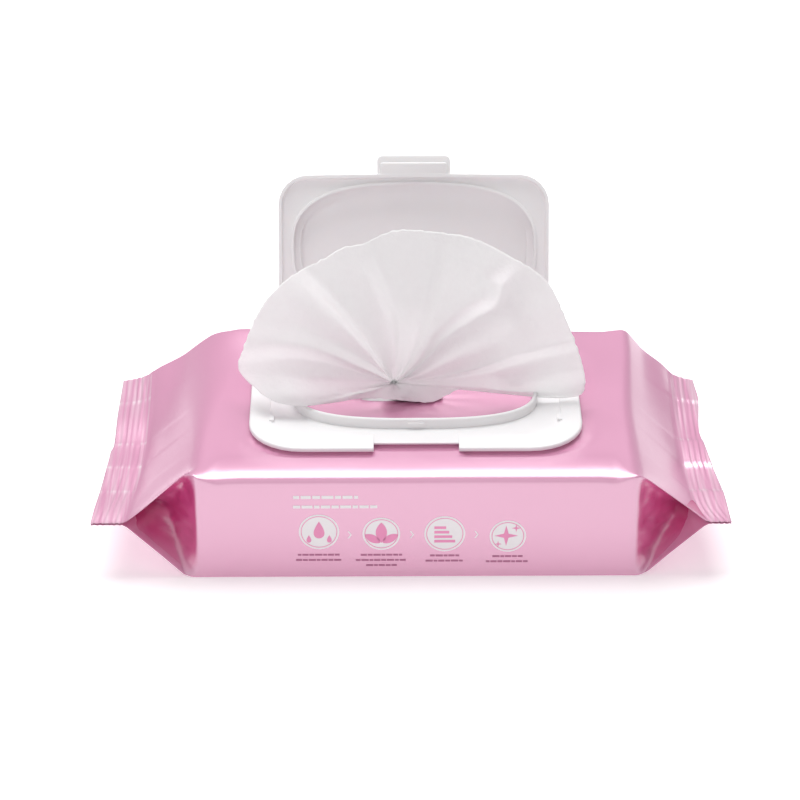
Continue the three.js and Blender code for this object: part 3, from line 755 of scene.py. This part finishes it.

# %% [markdown]
# The front panel carries a small print. Its words are left off and a few bars stand in their place,
# and its four round pictures are plain ones: water drops, a sprig of leaves, a folded sheet and a
# sparkle. Each colour is a thin closed film of ink that stands a few hundredths of a millimetre in
# front of the panel, so that it is a real piece. Every shape is an outline
# in (x, z).


# %% Inks, printed on the film by gravure
def gravure_ink(name, hex_code, deeper_code):
    """A printing ink with the faint cloudiness of a gravure print, about 3 mm across"""
    material, tree, shader = new_material(name, Roughness=0.45, Coat_Weight=0.4, Coat_Roughness=0.3)
    where = add(tree, "ShaderNodeTexCoord").outputs["Object"]
    cloud = add(tree, "ShaderNodeTexNoise", {"Vector": where, "Scale": 330.0})
    tone = add(tree, "ShaderNodeMix", {
        "Factor": cloud.outputs["Fac"], 6: colour(hex_code), 7: colour(deeper_code)}, data_type="RGBA")
    tree.links.new(tone.outputs[2], shader.inputs["Base Color"])
    return material


white_ink = gravure_ink("white_gravure_ink", "EFEBED", "E9E4E7")
pink_ink = gravure_ink("pink_gravure_ink", "EB8FBB", "E588B5")
mauve_ink = gravure_ink("mauve_gravure_ink", "AC6388", "A75D82")


# %% Outlines of the print
def round_outline(x, z, radius, count=48):
    """A circle"""
    turns = [index / count * 2 * math.pi for index in range(count)]
    return [(x + radius * math.cos(turn), z + radius * math.sin(turn)) for turn in turns]


def drop_outline(x, z, size, count=32):
    """A drop of water: a circle drawn out to a point at its top"""
    points = []
    for index in range(count):
        turn = index / count * 2 * math.pi
        narrow = math.sin(turn / 2) ** 1.3
        points.append((x + size * 0.75 * math.sin(turn) * narrow, z + size * math.cos(turn)))
    return points


def leaf_outline(x, z, length, lean, count=12):
    """A leaf from its stalk, leaning by an angle from upright"""
    points = []
    for flank in (1, -1):
        for index in range(count):
            along = index / count if flank > 0 else 1 - index / count
            out = flank * 0.24 * length * math.sin(math.pi * along) ** 0.8
            points.append((x + along * length * math.sin(lean) + out * math.cos(lean),
                           z + along * length * math.cos(lean) - out * math.sin(lean)))
    return points


def star_outline(x, z, size, tips=4):
    """A star of slim rays"""
    points = []
    for index in range(tips * 2):
        radius = size if index % 2 == 0 else size * 0.28
        turn = index / tips * math.pi
        points.append((x + radius * math.sin(turn), z + radius * math.cos(turn)))
    return points


def bar_outline(x, z, width, depth):
    """A flat bar from its left end, at the height of its middle"""
    low, high = z - depth / 2, z + depth / 2
    return [(x, low), (x + width, low), (x + width, high), (x, high)]


word_lengths = (2.6, 4.4, 3.4, 5.2)


def words(x, z, width, depth, seed):
    """Bars of different lengths with small gaps, in the place of a line of words"""
    bars = []
    place = x
    count = seed
    while place < x + width - 1.0:
        length = min(word_lengths[count % 4] * depth / 1.6, x + width - place)
        bars.append(bar_outline(place, z, length, depth))
        place += length + 0.45 * depth
        count += 1
    return bars


def chevron(x, z, size=1.5):
    """An arrowhead of two slanting bars"""
    return [[(x - 0.7, z + up), (x - 0.2, z + up), (x + 0.8, z), (x + 0.3, z)]
            for up in (size, -size)]


# %% The print on the front panel
picture_places = [(-35.3, 19.3, 7.3), (-12.8, 18.4, 6.8), (10.1, 18.3, 7.4), (32.9, 17.2, 6.6)]
white_shapes = [round_outline(x, z, radius) for x, z, radius in picture_places]
white_shapes += [bar for x in (-24.3, -1.8, 21.5) for bar in chevron(x, 18.0)]
white_shapes += words(-44.4, 33.8, 23.3, 1.3, 0) + words(-44.5, 29.8, 31.6, 1.2, 2)
rings = [(round_outline(x, z, radius - 0.7), round_outline(x, z, radius - 1.0))
         for x, z, radius in picture_places]
pink_shapes = [drop_outline(-35.3, 20.2, 3.6), drop_outline(-39.0, 16.4, 1.6),
               drop_outline(-31.6, 16.4, 1.6)]
pink_shapes += [leaf_outline(-12.8, 14.6, 8.6, 0.0), leaf_outline(-13.2, 14.6, 6.6, -1.0),
                leaf_outline(-12.4, 14.6, 6.6, 1.0)]
pink_shapes += [bar_outline(6.3, 15.2 + step * 1.9, 7.6 - step * 1.1, 1.1) for step in range(4)]
pink_shapes += [star_outline(32.3, 17.4, 4.3), star_outline(35.9, 20.6, 1.7),
                star_outline(29.4, 13.9, 1.4)]
mauve_shapes = []
caption_pitch = 2.2
captions = [(-35.3, 9.6, (7.8, 8.5)), (-12.8, 9.5, (7.5, 9.3, 5.6)),
            (10.1, 9.1, (5.3, 6.9)), (32.9, 8.7, (5.5, 7.8))]
for number, (x, z, halves) in enumerate(captions):
    for line, half in enumerate(halves):
        mauve_shapes += words(x - half, z - caption_pitch * line, 2 * half, 0.8, number + line)


# %% Printing
def printed(name, shapes, material, proud, ring_pairs=()):
    """A thin film of ink that stands proud of the pouch's front panel"""
    bm = bmesh.new()
    level = -half_depth - proud
    for shape in shapes:
        corners = [bm.verts.new((x, level, z)) for x, z in shape]
        bmesh.ops.contextual_create(bm, geom=corners)
    for outer, inner in ring_pairs:
        rows = [[bm.verts.new((x, level, z)) for x, z in ring] for ring in (outer, inner)]
        edges = [bm.edges.new((row[i - 1], row[i])) for row in rows for i in range(len(row))]
        bmesh.ops.bridge_loops(bm, edges=edges)
    for face in bm.faces:
        face.normal_update()
        if face.normal.y > 0:
            face.normal_flip()
    piece = finished(name, bm, material, "pack")
    for face in piece.data.polygons:
        face.use_smooth = False
    depth = piece.modifiers.new("ink_depth", "SOLIDIFY")
    depth.thickness = 0.03 * MM
    depth.offset = -1.0
    return piece


printed("print_white", white_shapes, white_ink, 0.05)
printed("print_pink", pink_shapes, pink_ink, 0.09, rings)
printed("print_mauve", mauve_shapes, mauve_ink, 0.05)

# %% [markdown]
# Carried-over CAD pieces only need their finish: the folded stack and the ring of glue are nearly
# hidden.

# %% Finishes of the hidden pieces
for node, material in (("wipe_stack", nonwoven), ("cap_adhesive", hot_melt)):
    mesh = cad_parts[node].data
    mesh.materials.clear()
    mesh.materials.append(material)

# %% [markdown]
# The cap's base and the lid have the right shape already, but a moulded part has no knife edges: the
# mould's corners are rounded. So each is copied, its loose triangles are merged, and a small bevel
# goes round every edge that is sharper than 35 degrees.


# %% The moulded pieces
def moulded(node, name, body, rounding):
    """A copy of a CAD node with softened edges"""
    bm = bmesh.new()
    bm.from_mesh(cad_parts[node].data)
    bmesh.ops.remove_doubles(bm, verts=bm.verts, dist=0.00001)
    bmesh.ops.dissolve_limit(bm, angle_limit=math.radians(0.8), verts=bm.verts, edges=bm.edges)
    bmesh.ops.scale(bm, vec=(1 / MM, 1 / MM, 1 / MM), verts=bm.verts)
    piece = finished(name, bm, white_cap, body, 35.0)
    bevel = piece.modifiers.new("mould_radius", "BEVEL")
    bevel.width = rounding * MM
    bevel.segments = 3
    bevel.limit_method = "ANGLE"
    bevel.angle_limit = math.radians(35.0)
    bevel.harden_normals = True
    bevel.use_clamp_overlap = True
    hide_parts(node)


moulded("cap_base", "dispensing_base", "pack", 0.22)
moulded("lid", "snap_lid", "lid", 0.25)

# %% [markdown]
# The wipe that stands out of the slot is gathered to a point in the neck, and opens above it like a
# fan. It is a sheet too: a grid runs from the gathered point to the free edge, which is a smooth loop
# through a few points in space, and its folds run along the grid from the neck outwards.

# %% The free edge of the wipe, from the neck round its left side and its top and back to the neck
gather = Vector((-8.0, -1.0, 50.1))
free_edge = [
    (-2.0, -3.5, 43.8), (-18.9, -5.0, 45.9), (-30.0, -9.5, 46.6), (-40.6, -14.0, 47.8),
    (-48.2, -14.3, 48.6), (-53.0, -12.5, 49.3), (-59.4, -7.5, 51.9), (-65.4, -1.0, 56.4),
    (-63.5, 3.0, 63.3), (-58.8, 5.0, 74.9), (-54.3, 6.0, 82.2), (-45.7, 7.0, 90.4),
    (-33.5, 8.2, 97.0), (-26.5, 8.8, 101.2), (-18.6, 9.2, 102.8), (-12.5, 9.6, 105.9),
    (-5.6, 10.0, 107.8), (9.4, 9.8, 106.7), (21.2, 9.2, 104.7), (34.2, 8.2, 98.2),
    (48.2, 6.8, 88.4), (56.4, 4.6, 71.7), (62.7, -0.5, 53.6), (61.8, -4.0, 46.6),
    (44.2, -6.2, 46.8), (24.0, -4.3, 47.9), (16.6, -3.9, 48.9), (6.3, -4.4, 43.9), (-2.0, -3.5, 43.8),
]


def through(points, share):
    """A point at a share of the way along a smooth line through points, evenly by length"""
    lengths = [0.0]
    for a, b in zip(points, points[1:]):
        lengths.append(lengths[-1] + (Vector(b) - Vector(a)).length)
    place = share * lengths[-1]
    return Vector([follow(list(zip(lengths, (p[axis] for p in points))), place) for axis in range(3)])


# %% [markdown]
# Each fold is a line from the neck outwards, given as how far round the free edge it lies at a few
# distances from the neck. One side of a fold falls away steeply and the other side softly, as where a
# pleat lies on its neighbour. The side says where the high, soft flank is: -1 to the left, 1 to the
# right. The folds come from the picture of a real wipe; without them the fan would look like card.

# %% Folds: (line, height, width of the soft flank, width of the steep one, side, from, to)
folds = [
    ([(0.0, 0.255), (0.2, 0.251), (0.5, 0.249), (1.0, 0.222)], 6.2, 0.060, 0.020, -1, 0.04, 1.2),
    ([(0.0, 0.180), (0.5, 0.165), (1.0, 0.150)], 4.0, 0.034, 0.045, 1, 0.04, 1.2),
    ([(0.0, 0.345), (0.5, 0.303), (1.0, 0.290)], 3.4, 0.030, 0.040, 1, 0.05, 1.2),
    ([(0.0, 0.381), (0.5, 0.379), (1.0, 0.369)], 5.4, 0.050, 0.014, 1, 0.03, 1.3),
    ([(0.0, 0.510), (0.4, 0.490), (0.53, 0.474), (0.8, 0.454), (1.0, 0.450)],
     4.2, 0.050, 0.016, 1, 0.2, 1.3),
    ([(0.0, 0.600), (0.22, 0.560), (0.5, 0.538), (0.8, 0.526), (1.0, 0.522)],
     5.0, 0.048, 0.018, -1, 0.05, 1.2),
    ([(0.0, 0.700), (0.12, 0.672), (0.33, 0.636), (0.55, 0.642), (0.7, 0.648), (0.82, 0.630)],
     8.0, 0.055, 0.018, 1, 0.03, 1.15),
    ([(0.0, 0.765), (0.4, 0.750), (0.7, 0.737), (1.0, 0.735)], 4.6, 0.045, 0.012, -1, 0.22, 1.3),
    ([(0.0, 0.815), (0.36, 0.800), (0.7, 0.781), (1.0, 0.770)], 3.6, 0.030, 0.014, -1, 0.22, 1.3),
    ([(0.0, 0.120), (0.5, 0.105), (1.0, 0.090)], 2.8, 0.030, 0.030, 1, 0.25, 1.2),
]
fold_scale = 1.35
pleat_height = 0.14
sway_height = 0.9
roll_height = 4.2


def calm(around, distance):
    """1 on the open fan and 0 where its edge runs back to the neck, which lies smooth"""
    last = mix(0.80, 0.86, smooth_step(32.0, 56.0, distance))
    return 1 - smooth_step(last - 0.05, last, around)


def fold_height(around, out, distance):
    """How far the sheet stands out towards the front"""
    total = 0.0
    for line, size, soft_width, steep_width, side, start, stop in folds:
        offset = (around - follow(line, out)) * side
        width = soft_width if offset > 0 else steep_width
        shown = smooth_step(0.0, start * 2, out) * (1 - smooth_step(stop - 0.45, stop, out))
        growth = min(1.0, 0.25 + 1.5 * out)
        total += fold_scale * size * shown * math.exp(-(offset / width) ** 2) * growth
    pleats = pleat_height * math.exp(-out / 0.16) * math.sin(around * 2 * math.pi * 11)
    sway = sway_height * out * math.sin(around * 2 * math.pi * 5.5 + 1.0) * (1 - 0.4 * out)
    held = smooth_step(0.0, 0.05, around) * calm(around, distance)
    return (total * (1 - 0.35 * smooth_step(0.6, 1.0, out)) + pleats + sway) * held


def low_roll(around, distance):
    """Just above the slot the lowest cloth bulges to the front as one smooth roll"""
    part = max(smooth_step(0.70, 0.79, around), 1 - smooth_step(0.06, 0.14, around))
    rise = roll_height * part * smooth_step(0.0, 7.0, distance)
    return rise * (1 - smooth_step(24.0, 46.0, distance))


# %% [markdown]
# The sheet starts in front of the neck, at a small negative share of the loop, and goes round to the
# lower right corner. The stretch between, where the loop runs straight back to the neck, is left out,
# because faces there would be slivers with no width.

# %% The sheet of the wipe
around_steps = 400
out_steps = 84
first_around, last_around = -0.060, 0.852
gather_radius = 0.5
arounds = [mix(first_around, last_around, i / around_steps) for i in range(around_steps + 1)]
edge_points = [through(free_edge, around % 1.0) for around in arounds]
facing = Vector((0.0, -0.875, 0.485))
wipe = bmesh.new()
bmesh.ops.create_grid(wipe, x_segments=around_steps, y_segments=out_steps, size=0.5)
for vertex in wipe.verts:
    i = round((vertex.co.x + 0.5) * around_steps)
    out = vertex.co.y + 0.5
    around = arounds[i]
    edge = edge_points[i]
    start = gather + (edge - gather).normalized() * gather_radius
    point = mix(start, edge, out)
    ragged = 0.5 * smooth_step(0.95, 1.0, out) * noise.noise(Vector((around * 160, 0.0, 5.0)))
    distance = (point - gather).length
    swell = 0.5 * out * noise.noise(Vector((around * 26, out * 2.5, 0.0))) * calm(around, distance)
    roll = low_roll(around, distance)
    vertex.co = point + facing * (fold_height(around, out, distance) + swell + roll)
    vertex.co += (edge - gather).normalized() * ragged

# %% [markdown]
# Below the gathered point the same cloth runs down as a bunch of pleats, through the slot in the film,
# and spreads out again on the stack: nearly half of the wipe is still in the pack. It is drawn as a
# pleated tube that opens into a wide, flat skirt with the outline of the wipe.

# %% The neck and the skirt: (level, middle along X, half its width, middle along Y, half its depth)
neck_levels = [
    (39.5, 0.0, 73.0, 2.5, 50.0), (39.6, -1.0, 52.0, 3.0, 34.0), (39.7, -1.0, 32.0, 3.3, 19.0),
    (39.9, 0.0, 18.0, 3.3, 8.0), (40.6, 1.0, 10.5, 3.3, 3.4), (41.7, 1.5, 8.5, 3.3, 3.3),
    (42.4, 1.3, 8.6, 2.7, 3.8), (43.3, 0.3, 9.6, 1.6, 4.4), (44.6, -1.4, 10.0, 1.0, 3.8),
    (46.2, -3.2, 8.6, 0.5, 2.7), (48.0, -5.3, 5.6, 0.2, 1.7), (49.6, -7.2, 2.6, 0.0, 1.0),
    (50.7, -8.1, 1.0, -0.2, 0.5),
]

# %% The tube of the neck, joined to the fan
neck_around = 160
neck_up = 48
neck = bmesh.new()
bmesh.ops.create_grid(neck, x_segments=neck_around, y_segments=neck_up, size=0.5)
for vertex in neck.verts:
    turn = (vertex.co.x + 0.5) * 2 * math.pi
    up = (vertex.co.y + 0.5) * (len(neck_levels) - 1)
    level, middle_x, width, middle_y, depth = [
        follow([(i, values[k]) for i, values in enumerate(neck_levels)], up) for k in range(5)]
    pleat = 1 + 0.09 * math.sin(turn * 8 + 0.35 * up) * smooth_step(5.5, 8.0, up)
    power = mix(0.3, 1.0, smooth_step(0.0, 4.0, up))
    x = -math.copysign(abs(math.cos(turn)) ** power, math.cos(turn))
    y = -math.copysign(abs(math.sin(turn)) ** power, math.sin(turn))
    vertex.co = Vector((middle_x + width * pleat * x, middle_y + depth * pleat * y, level))
bmesh.ops.remove_doubles(neck, verts=neck.verts, dist=0.0001)
bmesh.ops.recalc_face_normals(neck, faces=neck.faces)
neck_mesh = bpy.data.meshes.new("neck")
neck.to_mesh(neck_mesh)
neck.free()
wipe.from_mesh(neck_mesh)
bpy.data.meshes.remove(neck_mesh)

# %% The finished wipe
pulled_wipe = finished("pulled_wipe_sheet", wipe, nonwoven, "pack")
thickness = pulled_wipe.modifiers.new("cloth_thickness", "SOLIDIFY")
thickness.thickness = 0.3 * MM
thickness.offset = 0.0
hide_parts("pulled_wipe")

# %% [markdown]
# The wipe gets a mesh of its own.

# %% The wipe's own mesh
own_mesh(pulled_wipe)

# %% [markdown]
# A plain white floor and a pale room stand for the studio. One large soft light hangs over the pack
# and a little behind it: its mirror image is the bright band along the front edge of the film, and it
# leaves the tucked sides dark, as does the shade painted into the film there. A weaker one in front
# fills the shadows.

# %% Floor
floor_half_size = 6.0
floor_mesh = bmesh.new()
bmesh.ops.create_grid(floor_mesh, x_segments=1, y_segments=1, size=floor_half_size)
floor_data = bpy.data.meshes.new("floor")
floor_mesh.to_mesh(floor_data)
floor_mesh.free()
floor = bpy.data.objects.new("floor", floor_data)
bpy.context.scene.collection.objects.link(floor)
paper, tree, shader = new_material("matt_backdrop_paper", Roughness=0.9)
shader.inputs["Base Color"].default_value = colour("FAFAFA")
shader.inputs["Emission Color"].default_value = colour("FFFFFF")
shader.inputs["Emission Strength"].default_value = 0.3
floor_data.materials.append(paper)


# %% Lights
def soft_light(name, place, target, size, power):
    """A rectangular softbox at a place, turned to a target"""
    data = bpy.data.lights.new(name, "AREA")
    data.shape = "RECTANGLE"
    data.size, data.size_y = size
    data.energy = power
    light = bpy.data.objects.new(name, data)
    light.location = place
    light.rotation_euler = (Vector(target) - Vector(place)).to_track_quat("-Z", "Y").to_euler()
    bpy.context.scene.collection.objects.link(light)
    return light


soft_light("overhead", (-0.08, 0.4, 1.2), (0.0, 0.0, 0.05), (1.2, 1.0), 16.5)
soft_light("front_fill", (-0.5, -1.5, 1.2), (0.0, 0.0, 0.05), (2.6, 2.0), 9.2)
world = bpy.data.worlds.new("white_room")
world.use_nodes = True
world.node_tree.nodes["Background"].inputs["Color"].default_value = colour("FFFFFF")
world.node_tree.nodes["Background"].inputs["Strength"].default_value = 0.3
bpy.context.scene.world = world
